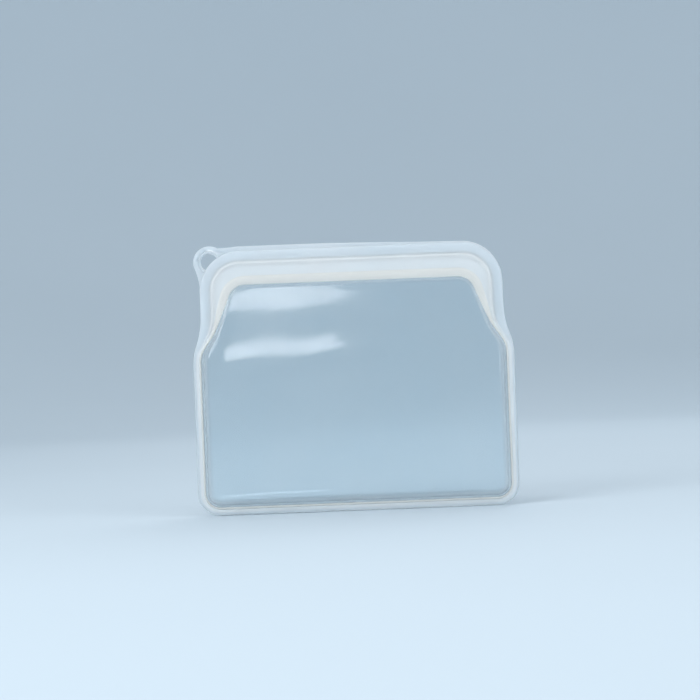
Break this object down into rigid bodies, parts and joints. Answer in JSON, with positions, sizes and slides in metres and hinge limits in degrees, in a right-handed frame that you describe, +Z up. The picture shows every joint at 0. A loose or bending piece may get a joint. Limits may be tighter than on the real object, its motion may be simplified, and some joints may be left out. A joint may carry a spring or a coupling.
{
  "type": "reusable silicone bag",
  "caption": "Flat translucent silicone storage bag with a frosted arched press-to-close mouth that opens front and back, seam rim and corner hang tab.",
  "frame": {"origin": "middle of the hang hole, halfway along its collar", "axes": "+X across the bag's width to the right of its front, +Y from front to back along the hang hole, +Z up"},
  "size_m": [0.2, 0.015, 0.1677],
  "materials": {
    "clear_silicone": "glossy",
    "frosted_silicone": "satin",
    "closure_silicone": "satin"
  },
  "bodies": {
    "pouch": {"front_wall": "clear_silicone", "rear_wall": "clear_silicone", "front_rim": "frosted_silicone", "rear_rim": "frosted_silicone", "front_seam_bead": "closure_silicone", "rear_seam_bead": "closure_silicone"},
    "front_flap": {"front_mouth_wall": "clear_silicone", "front_mouth_band": "frosted_silicone", "front_pull_lip": "frosted_silicone", "front_grip_ridge": "closure_silicone", "outer_zip_channel": "closure_silicone", "inner_zip_channel": "closure_silicone"},
    "rear_flap": {"rear_mouth_wall": "clear_silicone", "rear_mouth_band": "frosted_silicone", "rear_pull_lip": "frosted_silicone", "rear_grip_ridge": "closure_silicone", "outer_zip_rib": "closure_silicone", "inner_zip_rib": "closure_silicone", "hang_tab": "frosted_silicone", "eyelet_collar": "frosted_silicone"}
  },
  "joints": [
    {"name": "front_mouth_hinge", "type": "hinge", "parent": "pouch", "child": "front_flap", "pos_m": [0.0877, -0.0095, -0.0577], "axis": [1, 0, 0], "range_deg": [0, 50]},
    {"name": "rear_mouth_hinge", "type": "hinge", "parent": "pouch", "child": "rear_flap", "pos_m": [0.0877, 0.0058, -0.0577], "axis": [-1, 0, 0], "range_deg": [0, 50]}
  ]
}
